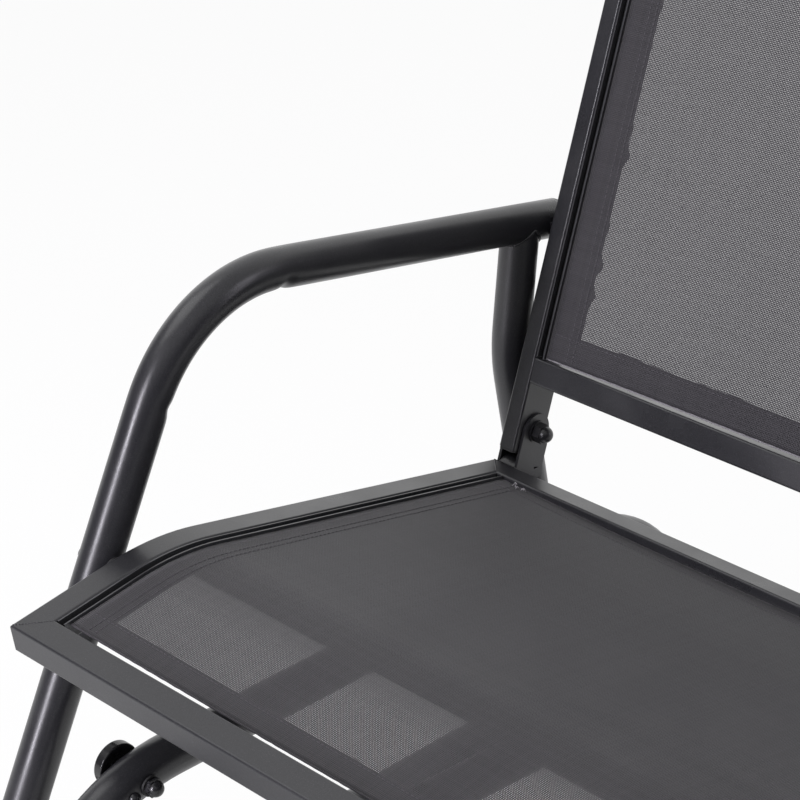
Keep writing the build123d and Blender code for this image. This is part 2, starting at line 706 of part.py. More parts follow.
def makeFrameBolts(low, high, bracketBolt):
    """low and high are the outer faces of the left bracket's two plates."""
    spacers, bolts, nuts, rings = [], [], [], []
    wallInside = rearLegDiameter / 2 - roundWall
    legFace = -loopX + rearLegDiameter / 2
    spacers.append(placeX(washer(9.0, low - legFace - 0.1), legFace + 0.05, *tieBolt))
    bolts.append(placeX(lowBolt(bracketPlate + low - legFace + roundWall + 7.5),
                        low + bracketPlate + 0.05, *tieBolt, -1))
    nuts.append(placeX(insertNut(), -loopX + wallInside - 1.2, *tieBolt, -1))

    bolts.append(placeX(domedBolt(high - low + 1.7 + 6.5), low - 0.05, *bracketBolt))
    rings.append(placeX(washer(9.5), high + 0.05, *bracketBolt))
    nuts.append(placeX(acornNut(8.4, 7.0, 7.0), high + 1.75, *bracketBolt))

    loopFace = -loopX + armDiameter / 2
    spacers.append(placeX(washer(9.0, loopGap - 0.1), loopFace + 0.05, *seatBolt))
    bolts.append(placeX(lowBolt(armDiameter + loopGap + railWall + 6.5),
                        -loopX - armDiameter / 2 - 0.05, *seatBolt))
    nuts.append(placeX(insertNut(), -halfSeat + railWall + 0.05, *seatBolt))

    outside = -stileOuterX - armPlateThickness - 0.1
    length = armPlateThickness + backWall + 7.0
    for along in armBoltsAlong:
        place = backPoint(along, armBoltBehind)
        bolts.append(placeX(domedBolt(length), outside - 0.05, *place))
        nuts.append(placeX(insertNut(), -stileOuterX + backWall + 0.05, *place))
    keep("frame_spacers", group(bothSides(spacers)))
    keep("frame_bolts", group(bothSides(bolts)))
    keep("frame_nuts", group(bothSides(nuts)))
    keep("bracket_washers", group(bothSides(rings)))


def makeArmPlates():
    """The plate welded inside each armrest's end, bolted to the stile."""
    low, high = armPlateAlong
    outer = -stileOuterX - armPlateThickness - 0.1
    front, rear = armPlateBehind
    outline = [backPoint(low, front), backPoint(low, rear), backPoint(high, rear),
               backPoint(high, front)]
    plate = plateX(outer, outer + armPlateThickness, outline)
    plate = fillet(plate.edges().filter_by(Axis.X), 5.0)
    plate += armWeld(outer) - armCore
    for along in armBoltsAlong:
        plate -= backRodX(outer - 5, outer + 12, along, armBoltBehind, boltRadius + 0.1)
    keepPair("arm_plate", plate)


def armWeld(outer):
    """The strip of weld between a plate and the round armrest beside it."""
    y, z = backPoint(0.5 * sum(armPlateAlong) + 20, 0.5 * sum(armPlateBehind))
    return boxAt((outer - 3.0, y - 13, armZ(y) - 5), (outer, y + 5, armZ(y) + 5))


makeBase()
makeUpperPivots()
makeLinks()
makeLoops()
makeClevises()
makeSeatFrame()
makeSeatSling()
makeBackFrame()
makeBackSling()
makeBrackets()
makeArmPlates()

os.makedirs("parts", exist_ok=True)
for name, shape in nodes.items():
    shape.label = name
    export_step(shape, os.path.join("parts", name + ".step"))
print(len(nodes), "nodes written; foot bars at Y", round(footBarY, 1),
      "upper pivots at Z", round(upperPivotZ, 1))
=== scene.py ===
import json
from math import cos, pi, radians, sin, tan

import bpy
import numpy as np
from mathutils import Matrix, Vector


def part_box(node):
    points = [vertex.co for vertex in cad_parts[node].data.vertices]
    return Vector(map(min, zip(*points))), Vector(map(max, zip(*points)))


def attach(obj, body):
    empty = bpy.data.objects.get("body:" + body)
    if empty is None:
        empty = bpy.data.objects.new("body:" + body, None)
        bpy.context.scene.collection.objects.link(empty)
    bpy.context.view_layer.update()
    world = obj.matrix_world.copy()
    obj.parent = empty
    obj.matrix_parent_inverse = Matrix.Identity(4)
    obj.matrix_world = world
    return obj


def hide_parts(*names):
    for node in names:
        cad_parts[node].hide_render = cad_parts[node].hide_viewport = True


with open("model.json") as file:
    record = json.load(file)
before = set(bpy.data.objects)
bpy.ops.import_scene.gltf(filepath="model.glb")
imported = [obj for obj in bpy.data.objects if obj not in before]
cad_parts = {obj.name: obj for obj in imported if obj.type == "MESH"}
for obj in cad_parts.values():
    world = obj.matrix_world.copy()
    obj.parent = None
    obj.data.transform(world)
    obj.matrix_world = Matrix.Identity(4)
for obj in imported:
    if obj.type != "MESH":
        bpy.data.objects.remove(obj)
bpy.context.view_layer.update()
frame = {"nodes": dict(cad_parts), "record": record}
nodes = frame["nodes"]
record = frame["record"]
print("frame loaded:", len(nodes), "nodes")


# camera, lights and floor
view = {
    "place": (0.9583, -1.1762, 1.3382),
    "towards": (-0.633976, 0.638781, -0.435928),
    "lens": 115.94,
}
studio = {
    "ambient": 0.035,        # the dark side of the room, where the camera stands
    "backdrop": 1.2,        # the pale wall behind the chair
    "ceiling": 0.68,
    "floorGlow": 0.8,      # how much the floor gives back to the chair
}


def addCamera():
    data = bpy.data.cameras.new("camera")
    data.lens = view["lens"]
    data.sensor_width = 36.0
    camera = bpy.data.objects.new("camera", data)
    camera.location = view["place"]
    camera.rotation_euler = Vector(view["towards"]).to_track_quat("-Z", "Y").to_euler()
    bpy.context.scene.collection.objects.link(camera)
    bpy.context.scene.camera = camera


def addAreaLight(name, place, target, size, power, colour=(1, 1, 1)):
    data = bpy.data.lights.new(name, "AREA")
    data.shape = "RECTANGLE"
    data.size, data.size_y = size
    data.energy = power
    data.color = colour
    light = bpy.data.objects.new(name, data)
    light.location = place
    light.rotation_euler = (Vector(target) - Vector(place)).to_track_quat("-Z", "Y").to_euler()
    bpy.context.scene.collection.objects.link(light)


# small tools for node trees
def feed(tree, socket, value):
    if isinstance(value, bpy.types.NodeSocket):
        tree.links.new(value, socket)
    else:
        socket.default_value = value


def calc(tree, operation, *values, clamp=False):
    node = tree.nodes.new("ShaderNodeMath")
    node.operation = operation
    node.use_clamp = clamp
    for socket, value in zip(node.inputs, values):
        feed(tree, socket, value)
    return node.outputs[0]


def ramp(tree, value, low, high, start=0.0, end=1.0):
    # Smooth step from start to end while value goes from low to high.
    node = tree.nodes.new("ShaderNodeMapRange")
    node.interpolation_type = "SMOOTHSTEP"
    for label, given in (("Value", value), ("From Min", low), ("From Max", high),
                         ("To Min", start), ("To Max", end)):
        feed(tree, node.inputs[label], given)
    return node.outputs["Result"]


def noise(tree, vector, scale, detail=2.0):
    node = tree.nodes.new("ShaderNodeTexNoise")
    node.inputs["Scale"].default_value = scale
    node.inputs["Detail"].default_value = detail
    feed(tree, node.inputs["Vector"], vector)
    return node.outputs["Fac"]


def mixColour(tree, factor, first, second, blend="MIX"):
    node = tree.nodes.new("ShaderNodeMix")
    node.data_type = "RGBA"
    node.blend_type = blend
    feed(tree, node.inputs["Factor"], factor)
    feed(tree, node.inputs["A"], first)
    feed(tree, node.inputs["B"], second)
    return [out for out in node.outputs if out.type == "RGBA"][0]


def makeWorld():
    world = bpy.data.worlds.new("studio")
    world.use_nodes = True
    tree = world.node_tree
    tree.nodes.clear()
    split = tree.nodes.new("ShaderNodeSeparateXYZ")
    feed(tree, split.inputs[0], tree.nodes.new("ShaderNodeTexCoord").outputs["Generated"])
    behind = calc(tree, "SUBTRACT", calc(tree, "MULTIPLY", split.outputs["Y"], 0.9),
                  calc(tree, "MULTIPLY", split.outputs["X"], 0.35))
    wall = ramp(tree, behind, -0.1, 0.6, 0.0, studio["backdrop"])
    roof = ramp(tree, split.outputs["Z"], 0.2, 0.8, 0.0, studio["ceiling"])
    light = calc(tree, "ADD", calc(tree, "MAXIMUM", wall, roof), studio["ambient"])
    room = tree.nodes.new("ShaderNodeBackground")
    feed(tree, room.inputs["Strength"], light)
    seen = tree.nodes.new("ShaderNodeBackground")
    pick = tree.nodes.new("ShaderNodeMixShader")
    feed(tree, pick.inputs[0], tree.nodes.new("ShaderNodeLightPath").outputs["Is Camera Ray"])
    tree.links.new(room.outputs[0], pick.inputs[1])
    tree.links.new(seen.outputs[0], pick.inputs[2])
    for node in (room, seen):
        node.inputs["Color"].default_value = (1, 1, 1, 1)
    out = tree.nodes.new("ShaderNodeOutputWorld")
    tree.links.new(pick.outputs[0], out.inputs["Surface"])
    bpy.context.scene.world = world


def makeFloor():
    half = 9.0
    mesh = bpy.data.meshes.new("floor")
    mesh.from_pydata([(-half, -half, 0), (half, -half, 0), (half, half, 0), (-half, half, 0)], [],
                     [(0, 1, 2, 3)])
    floor = bpy.data.objects.new("floor", mesh)
    bpy.context.scene.collection.objects.link(floor)
    material = bpy.data.materials.new("pale_floor")
    material.use_nodes = True
    tree = material.node_tree
    base = tree.nodes["Principled BSDF"]
    base.inputs["Base Color"].default_value = (0.85, 0.85, 0.85, 1)
    base.inputs["Roughness"].default_value = 0.9
    glow = tree.nodes.new("ShaderNodeEmission")
    pick = tree.nodes.new("ShaderNodeMixShader")
    isSeen = tree.nodes.new("ShaderNodeLightPath").outputs["Is Camera Ray"]
    feed(tree, pick.inputs[0], ramp(tree, isSeen, 0.0, 1.0, studio["floorGlow"], 0.86))
    tree.links.new(base.outputs[0], pick.inputs[1])
    tree.links.new(glow.outputs[0], pick.inputs[2])
    feed(tree, tree.nodes["Material Output"].inputs["Surface"], pick.outputs[0])
    mesh.materials.append(material)


addCamera()
addAreaLight("key", (-1.2, -0.6, 2.6), (0, 0, 0.4), (1.6, 1.6), 14)
addAreaLight("rim", (2.4, 1.6, 1.7), (0, 0, 0.45), (0.6, 2.0), 16, (0.93, 0.9, 1.0))
addAreaLight("strip", (-0.5, -3.0, 1.1), (0, 0, 0.4), (0.28, 1.9), 90, (0.94, 0.91, 1.0))
makeWorld()
makeFloor()
bpy.context.scene.view_settings.view_transform = "Standard"
print("camera, lights and floor are in")


# shader groups
def newGroup(name, inputs, outputs):
    group = bpy.data.node_groups.new(name, "ShaderNodeTree")
    for label, kind, value in inputs:
        socket = group.interface.new_socket(label, in_out="INPUT", socket_type="NodeSocket" + kind)
        if value is not None:
            socket.default_value = value
    for label, kind in outputs:
        group.interface.new_socket(label, in_out="OUTPUT", socket_type="NodeSocket" + kind)
    return group, group.nodes.new("NodeGroupInput").outputs, group.nodes.new("NodeGroupOutput").inputs


def makeCoatGroup():
    # Baked coat on metal: a fine grain, sparse bright flakes, an orange-peel skin and slow changes
    # of gloss, all on Object coordinates in metres.
    tree, given, out = newGroup(
        "bakedCoat",
        [("Colour", "Color", (0.03, 0.03, 0.03, 1)), ("Flake", "Float", 0.05),
         ("Gloss", "Float", 0.4), ("Peel", "Float", 0.3), ("Dust", "Float", 0.02)],
        [("Colour", "Color"), ("Roughness", "Float"), ("Normal", "Vector")])
    place = tree.nodes.new("ShaderNodeTexCoord").outputs["Object"]
    grain = noise(tree, place, 1500.0, 3.0)
    cell = tree.nodes.new("ShaderNodeTexVoronoi")
    cell.inputs["Scale"].default_value = 760.0
    feed(tree, cell.inputs["Vector"], place)
    flake = ramp(tree, cell.outputs["Distance"], 0.10, 0.24, 1.0, 0.0)
    flake = calc(tree, "MULTIPLY", flake, given["Flake"])
    patch = noise(tree, place, 14.0, 4.0)
    shade = ramp(tree, grain, 0.25, 0.75, 0.62, 1.38)
    toned = mixColour(tree, 1.0, given["Colour"], (1, 1, 1, 1), "MULTIPLY")
    brighter = tree.nodes.new("ShaderNodeVectorMath")
    brighter.operation = "SCALE"
    feed(tree, brighter.inputs[0], toned)
    feed(tree, brighter.inputs["Scale"], shade)
    dusty = mixColour(tree, calc(tree, "MULTIPLY", ramp(tree, patch, 0.5, 0.8), given["Dust"]),
                      brighter.outputs[0], (0.42, 0.40, 0.38, 1))
    feed(tree, out["Colour"], mixColour(tree, flake, dusty, (0.55, 0.53, 0.60, 1)))
    rough = calc(tree, "ADD", given["Gloss"], ramp(tree, patch, 0.3, 0.7, -0.05, 0.07))
    feed(tree, out["Roughness"], calc(tree, "SUBTRACT", rough, calc(tree, "MULTIPLY", flake, 0.4)))
    skin = calc(tree, "ADD", noise(tree, place, 330.0, 2.0), calc(tree, "MULTIPLY", grain, 0.35))
    bump = tree.nodes.new("ShaderNodeBump")
    bump.inputs["Distance"].default_value = 0.00012
    feed(tree, bump.inputs["Strength"], given["Peel"])
    feed(tree, bump.inputs["Height"], skin)
    feed(tree, out["Normal"], bump.outputs["Normal"])
    return tree


def makeWeaveGroup():
    # Plain weave of round coated yarns on the piece's UV map, which is in metres.  Yarn i runs along
    # v at u = (i + 1/2) pitch, and yarn j along u.  A yarn covers the cloth where the distance from
    # its middle is under half its width, and it rises over every second crossing as a cosine.
    tree, given, out = newGroup(
        "wovenYarn",
        [("Pitch", "Float", 0.0012), ("Width", "Float", 0.53), ("Wander", "Float", 0.08)],
        [("Cover", "Float"), ("Height", "Float"), ("Tone", "Float")])
    flat = tree.nodes.new("ShaderNodeUVMap").outputs["UV"]
    split = tree.nodes.new("ShaderNodeSeparateXYZ")
    feed(tree, split.inputs[0], flat)
    drift = calc(tree, "SUBTRACT", noise(tree, flat, 260.0, 2.0), 0.5)
    drift = calc(tree, "MULTIPLY", drift, given["Wander"])
    across = calc(tree, "ADD", calc(tree, "DIVIDE", split.outputs["X"], given["Pitch"]), drift)
    along = calc(tree, "SUBTRACT", calc(tree, "DIVIDE", split.outputs["Y"], given["Pitch"]), drift)
    half = calc(tree, "MULTIPLY", given["Width"], 0.5)
    cover, height, tone = [], [], []
    for mine, other, lead in ((across, along, 0.0), (along, across, pi)):
        index = calc(tree, "FLOOR", mine)
        aside = calc(tree, "ABSOLUTE", calc(tree, "SUBTRACT", calc(tree, "FRACT", mine), 0.5))
        share = calc(tree, "DIVIDE", aside, half)
        crown = calc(tree, "SUBTRACT", 1.0, calc(tree, "MULTIPLY", share, share), clamp=True)
        phase = calc(tree, "ADD", calc(tree, "SUBTRACT", other, 0.5), index)
        rise = calc(tree, "COSINE", calc(tree, "ADD", calc(tree, "MULTIPLY", phase, pi), lead))
        on = calc(tree, "LESS_THAN", share, 1.0)
        lift = calc(tree, "ADD", calc(tree, "MULTIPLY", rise, 0.35), 0.65)
        cover.append(on)
        height.append(calc(tree, "MULTIPLY", on,
                           calc(tree, "MULTIPLY", calc(tree, "SQRT", crown), lift)))
        wild = tree.nodes.new("ShaderNodeTexWhiteNoise")
        wild.noise_dimensions = "1D"
        feed(tree, wild.inputs["W"], calc(tree, "ADD", index, lead))
        tone.append(wild.outputs["Value"])
    feed(tree, out["Cover"], calc(tree, "MAXIMUM", *cover))
    feed(tree, out["Height"], calc(tree, "MAXIMUM", *height))
    feed(tree, out["Tone"], calc(tree, "MULTIPLY", calc(tree, "ADD", *tone), 0.5))
    return tree


coatGroup = makeCoatGroup()
weaveGroup = makeWeaveGroup()


# materials
def startMaterial(name):
    material = bpy.data.materials.new(name)
    material.use_nodes = True
    return material, material.node_tree, material.node_tree.nodes["Principled BSDF"]


def useGroup(tree, group, values):
    node = tree.nodes.new("ShaderNodeGroup")
    node.node_tree = group
    for label, value in values.items():
        node.inputs[label].default_value = value
    return node.outputs


def coatMaterial(name, colour, flake, gloss, peel, dust=0.02, metallic=0.0, specular=0.5):
    material, tree, shader = startMaterial(name)
    made = useGroup(tree, coatGroup, {"Colour": (*colour, 1), "Flake": flake, "Gloss": gloss,
                                      "Peel": peel, "Dust": dust})
    feed(tree, shader.inputs["Base Color"], made["Colour"])
    feed(tree, shader.inputs["Roughness"], made["Roughness"])
    feed(tree, shader.inputs["Normal"], made["Normal"])
    shader.inputs["Metallic"].default_value = metallic
    shader.inputs["Specular IOR Level"].default_value = specular
    return material


def clothMaterial(name, dark, light, width, pitch=0.0014):
    material, tree, shader = startMaterial(name)
    made = useGroup(tree, weaveGroup, {"Pitch": pitch, "Width": width})
    # base colour: each yarn's random tone times its height, so yarn crowns are lighter while yarn edges
    # and dips under crossings carry painted shade (dark is the painted-shade colour)
    toneAndPaintedShade = calc(tree, "MULTIPLY", made["Height"], ramp(tree, made["Tone"], 0.0, 1.0, 0.7, 1.15))
    feed(tree, shader.inputs["Base Color"], mixColour(tree, toneAndPaintedShade, (*dark, 1), (*light, 1)))
    # the yarns' own thickness closes the holes when the cloth is seen at a slant
    facing = tree.nodes.new("ShaderNodeLayerWeight").outputs["Facing"]
    shut = ramp(tree, facing, 0.25, 0.70, 0.0, 0.9)
    bare = calc(tree, "SUBTRACT", 1.0, made["Cover"])
    holes = calc(tree, "MULTIPLY", bare, calc(tree, "SUBTRACT", 1.0, shut))
    feed(tree, shader.inputs["Alpha"], calc(tree, "SUBTRACT", 1.0, holes))
    bump = tree.nodes.new("ShaderNodeBump")
    bump.inputs["Distance"].default_value = 0.0003
    bump.inputs["Strength"].default_value = 0.8
    feed(tree, bump.inputs["Height"], made["Height"])
    feed(tree, shader.inputs["Normal"], bump.outputs["Normal"])
    shader.inputs["Roughness"].default_value = 0.62
    shader.inputs["Specular IOR Level"].default_value = 0.35
    shader.inputs["Sheen Weight"].default_value = 0.12
    return material


finishes = {
    "powder_coat": coatMaterial("charcoalCoat", (0.018, 0.018, 0.021), 0.06, 0.31, 0.35),
    "link_finish": coatMaterial("blackEnamel", (0.010, 0.010, 0.011), 0.01, 0.30, 0.20),
    "black_hardware": coatMaterial("blackedSteel", (0.009, 0.009, 0.011), 0.02, 0.26, 0.12),
    "black_plastic": coatMaterial("mouldedPlastic", (0.012, 0.012, 0.013), 0.0, 0.50, 0.45),
    "nylon": coatMaterial("blackNylon", (0.016, 0.016, 0.017), 0.0, 0.55, 0.20),
    "sling_channel": coatMaterial("channelCoat", (0.055, 0.055, 0.060), 0.08, 0.30, 0.15,
                                  metallic=0.35),
    "pad_rubber": coatMaterial("padRubber", (0.014, 0.014, 0.014), 0.0, 0.72, 0.70, dust=0.12),
}
meshCloth = clothMaterial("slingCloth", (0.013, 0.012, 0.015), (0.050, 0.047, 0.053), 0.65)
hemCloth = clothMaterial("hemCloth", (0.030, 0.027, 0.034), (0.105, 0.097, 0.112), 0.70)
# a much lighter copy of the same cloth for the back's lower fold roll: a painted highlight along that
# fold
foldPaintedHighlight = clothMaterial("foldPaintedHighlight", (0.130, 0.125, 0.135), (0.360, 0.345, 0.370), 0.95)
threadMaterial = coatMaterial("sewingThread", (0.075, 0.070, 0.080), 0.0, 0.6, 0.3)
looseMaterial = coatMaterial("looseThread", (0.50, 0.48, 0.50), 0.0, 0.6, 0.3)

for part in record["subparts"]:
    if part["material_slot"] in finishes:
        for place in nodes[part["node"]].material_slots:
            place.material = finishes[part["material_slot"]]
print("materials are on the frame")


# surfaces from arrays
def gridQuads(rows, columns, closeRows=False, closeColumns=False):
    # Corner numbers of the quads of a grid whose points are stored row by row.
    i = np.arange(rows if closeRows else rows - 1)[:, None]
    j = np.arange(columns if closeColumns else columns - 1)[None, :]
    a = i * columns + j
    b = i * columns + (j + 1) % columns
    c = (i + 1) % rows * columns + (j + 1) % columns
    d = (i + 1) % rows * columns + j
    return np.stack([a, b, c, d], -1).reshape(-1, 4)


def addPiece(name, points, faces, material, body, flat=None, smooth=True):
    # A mesh object from an array of points and an array, or list, of faces.
    mesh = bpy.data.meshes.new(name)
    mesh.from_pydata(np.asarray(points).reshape(-1, 3).tolist(), [], [list(f) for f in faces])
    if flat is not None:
        corner = np.empty(len(mesh.loops), np.int32)
        mesh.loops.foreach_get("vertex_index", corner)
        layer = mesh.uv_layers.new(name="cloth")
        layer.data.foreach_set("uv", np.asarray(flat, np.float32).reshape(-1, 2)[corner].ravel())
    mesh.polygons.foreach_set("use_smooth", [smooth] * len(mesh.polygons))
    mesh.materials.append(material)
    mesh.update()
    piece = bpy.data.objects.new(name, mesh)
    bpy.context.scene.collection.objects.link(piece)
    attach(piece, body)
    return piece


def unit(vectors):
    return vectors / np.linalg.norm(vectors, axis=-1, keepdims=True)


def roundedPath(corners, radii, step=0.003):
    # Points (Y, Z) along straight runs joined by tangent arcs, with the arcs' end lengths.
    #
    # An arc of radius r that turns by t starts r tan(t / 2) before its corner.
    corners = [np.array(c, float) for c in corners]
    runs, marks, length, start = [], [], 0.0, corners[0]
    for before, corner, after, radius in zip(corners, corners[1:], corners[2:], radii):
        came, goes = unit(corner - before), unit(after - corner)
        turn = np.arccos(np.clip(came @ goes, -1, 1))
        side = np.sign(came[0] * goes[1] - came[1] * goes[0])
        entry = corner - came * radius * tan(turn / 2)
        count = max(2, int(np.linalg.norm(entry - start) / step))
        runs.append(start + np.linspace(0, 1, count, endpoint=False)[:, None] * (entry - start))
        length += np.linalg.norm(entry - start)
        centre = entry + side * radius * np.array([-came[1], came[0]])
        angle = np.linspace(0, turn, max(3, int(radius * turn / step)), endpoint=False)[:, None]
        out = entry - centre
        normal = side * np.array([-out[1], out[0]])
        runs.append(centre + out * np.cos(angle) + normal * np.sin(angle))
        marks.append((length, length + radius * turn))
        length += radius * turn
        start = corner + goes * radius * tan(turn / 2)
    count = max(2, int(np.linalg.norm(corners[-1] - start) / step))
    runs.append(start + np.linspace(0, 1, count)[:, None] * (corners[-1] - start))
    return np.concatenate(runs), marks


def arcLength(points):
    steps = np.linalg.norm(np.diff(points, axis=0), axis=1)
    return np.concatenate([[0], np.cumsum(steps)])


# arm loops: tubes bent in the plane X = constant, slightly creased where a bend starts and ends
armLoop = {
    "radius": 0.016, "wall": 0.0012,
    "point": (-0.104, 0.619), "fall": 8.77, "lean": 25.5,
    "legPoint": (-0.1863, 0.425), "rearY": 0.297, "bottomZ": 0.092, "bottomRearY": 0.358,
    "bends": (0.119, 0.070),
    "creaseDepth": 0.0016, "creaseLength": 0.005, "creaseWidth": 0.8, "flatten": 0.03,
}


def armZ(y):
    return armLoop["point"][1] - tan(radians(armLoop["fall"])) * (y - armLoop["point"][0])


def legY(z):
    return armLoop["legPoint"][0] + tan(radians(armLoop["lean"])) * (z - armLoop["legPoint"][1])


def armCorners():
    slope, lean = tan(radians(armLoop["fall"])), tan(radians(armLoop["lean"]))
    # the armrest's line z = z0 - slope y and the leg's line y = y0 + lean z cross here
    z0 = armZ(0.0)
    y0 = legY(0.0)
    top = (z0 - slope * y0) / (1 + slope * lean)
    return [(armLoop["rearY"], armZ(armLoop["rearY"])), (legY(top), top),
            (legY(armLoop["bottomZ"]), armLoop["bottomZ"]),
            (armLoop["bottomRearY"], armLoop["bottomZ"])]


def makeArmLoop(side, x):
    line, bends = roundedPath(armCorners(), armLoop["bends"])
    centres = np.column_stack([np.full(len(line), x), line])
    along = unit(np.gradient(centres, axis=0))
    along[0], along[-1] = unit(centres[1] - centres[0]), unit(centres[-1] - centres[-2])
    level = np.array([1.0, 0, 0])
    inward = np.cross(level, along)
    place = arcLength(line)[:, None]
    angle = np.linspace(0, 2 * pi, 48, endpoint=False)[None, :]
    # the inside of both bends is where sin(angle) = 1, because the loop always turns one way
    facing = np.exp(-((1 - np.sin(angle)) / armLoop["creaseWidth"]) ** 2)
    dent = np.zeros_like(place * angle)
    squeeze = np.zeros_like(place)
    for start, end in bends:
        for mark in (start, end):
            dent += np.exp(-((place - mark) / armLoop["creaseLength"]) ** 2) * facing
        squeeze += 0.25 * (1 + np.tanh((place - start) / 0.012)) * (1 + np.tanh((end - place) / 0.012))
    outer = armLoop["radius"] * (1 - armLoop["flatten"] * squeeze * np.sin(angle) ** 2)
    outer = outer - armLoop["creaseDepth"] * dent

    def skin(radius):
        ring = np.cos(angle)[..., None] * level + np.sin(angle)[..., None] * inward[:, None, :]
        return centres[:, None, :] + radius[..., None] * ring

    shells = np.concatenate([skin(outer), skin(outer - armLoop["wall"])[::-1]])
    faces = gridQuads(len(shells), angle.size, closeRows=True, closeColumns=True)
    piece = addPiece("arm_tube_" + side, shells, faces[:, ::-1], finishes["powder_coat"],
                     "seat_unit")
    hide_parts("arm_loop_" + side)
    return piece


loopX = 0.5 * (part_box("arm_loop_right")[0].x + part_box("arm_loop_right")[1].x)
for side, x in (("left", -loopX), ("right", loopX)):
    makeArmLoop(side, x)
print("arm loops are bent")


def ringRound(angle, first, second):
    # For each point of a line, unit vectors round it in the plane of first and second.
    return (np.cos(angle)[None, :, None] * first[:, None]
            + np.sin(angle)[None, :, None] * second[:, None])


# weld beads: a rippled bead laid along the line where two tubes meet
weld = {
    "radius": 0.0021, "ripple": 0.0022, "depth": 0.16, "sides": 8,
    "clevisRadius": 0.0016, "legTopRadius": 0.0011, "bracketRadius": 0.0016,
    "mitreRadius": 0.0007, "mitreInset": 0.0012, "mitreSink": 0.0003,
}


def layBead(name, centres, outward, body, radius=None, closed=False):
    # Bead round a line of points: its radius swells by a sine once every ripple length.
    radius = radius or weld["radius"]
    centres = np.asarray(centres, float)
    if closed:
        along = unit(np.roll(centres, -1, 0) - np.roll(centres, 1, 0))
        gone = np.concatenate([[0], np.cumsum(np.linalg.norm(np.diff(centres, axis=0), axis=1))])
    else:
        along = unit(np.gradient(centres, axis=0))
        gone = arcLength(centres)
    outward = unit(outward - (outward * along).sum(1, keepdims=True) * along)
    aside = np.cross(along, outward)
    swell = 1 + weld["depth"] * np.sin(2 * pi * gone / weld["ripple"])
    drift = 1 + 0.10 * np.sin(gone * 410.0) + 0.07 * np.sin(gone * 173.0 + 1.3)
    size = radius * swell * drift
    if not closed:
        end = np.minimum(gone, gone[-1] - gone) / (1.2 * radius)
        size = size * np.sqrt(np.clip(1 - (1 - np.clip(end, 0, 1)) ** 2, 0.02, 1))
    angle = np.linspace(0, 2 * pi, weld["sides"], endpoint=False)
    ring = ringRound(angle, outward, aside)
    points = centres[:, None] + size[:, None, None] * ring
    count = len(centres)
    faces = gridQuads(count, weld["sides"], closeRows=closed, closeColumns=True).tolist()
    if not closed:
        faces.append(list(range(weld["sides"])))
        faces.append([(count - 1) * weld["sides"] + k for k in range(weld["sides"])][::-1])
    faces = [f[::-1] for f in faces]
    return addPiece(name, points, faces, finishes["powder_coat"], body)


def copeLine(origin, tubeWay, tubeRadius, barWay, barRadius, count=220):
    # Where a tube's skin meets a bar whose axis it crosses at origin.
    #
    # A point of the tube's skin is s d + q(angle), and its distance from the bar's axis is the
    # bar's radius: |s d' + q'|^2 = R^2, with d' and q' the parts of d and q at right angles to it.
    d, a = unit(np.array(tubeWay, float)), unit(np.array(barWay, float))
    first = unit(np.cross(d, a))
    second = np.cross(d, first)
    angle = np.linspace(0, 2 * pi, count, endpoint=False)[:, None]
    q = tubeRadius * (np.cos(angle) * first + np.sin(angle) * second)
    dAcross = d - (d @ a) * a
    qAcross = q - (q @ a)[:, None] * a
    one = dAcross @ dAcross
    two = 2 * qAcross @ dAcross
    three = (qAcross ** 2).sum(1) - barRadius ** 2
    s = (-two + np.sqrt(np.maximum(two ** 2 - 4 * one * three, 0))) / (2 * one)
    points = np.array(origin) + s[:, None] * d + q
    outward = unit(q) + 0.6 * d
    return points + 0.0004 * unit(outward), outward


def addCope(name, origin, tubeWay, tubeRadius, barWay, barRadius, body, radius=None):
    points, outward = copeLine(origin, tubeWay, tubeRadius, barWay, barRadius)
    layBead(name, points, outward, body, radius, closed=True)


def straightBead(name, start, end, outward, body, radius=None):
    start, end = np.array(start, float), np.array(end, float)
    count = max(8, int(np.linalg.norm(end - start) / 0.0004))
    points = start + np.linspace(0, 1, count)[:, None] * (end - start)
    layBead(name, points, np.tile(np.array(outward, float), (count, 1)), body, radius)


def middleOf(node):
    low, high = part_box(node)
    return 0.5 * (low + high)


frameLines = {
    "archSplay": 12.0, "archRadius": 0.016, "footRadius": 0.016, "crossRadius": 0.014,
    "legRadius": 0.0159, "legFoot": (0.327, 0.092), "legKnee": (0.249, 0.451),
    "legTop": (0.2591, 0.564), "armRadius": 0.016,
    "seatFront": (-0.280, 0.425), "seatRear": (0.2115, 0.3753), "seatHalf": 0.310,
    "railSize": 0.023, "rise": 9.5, "fall": 11.1,
}


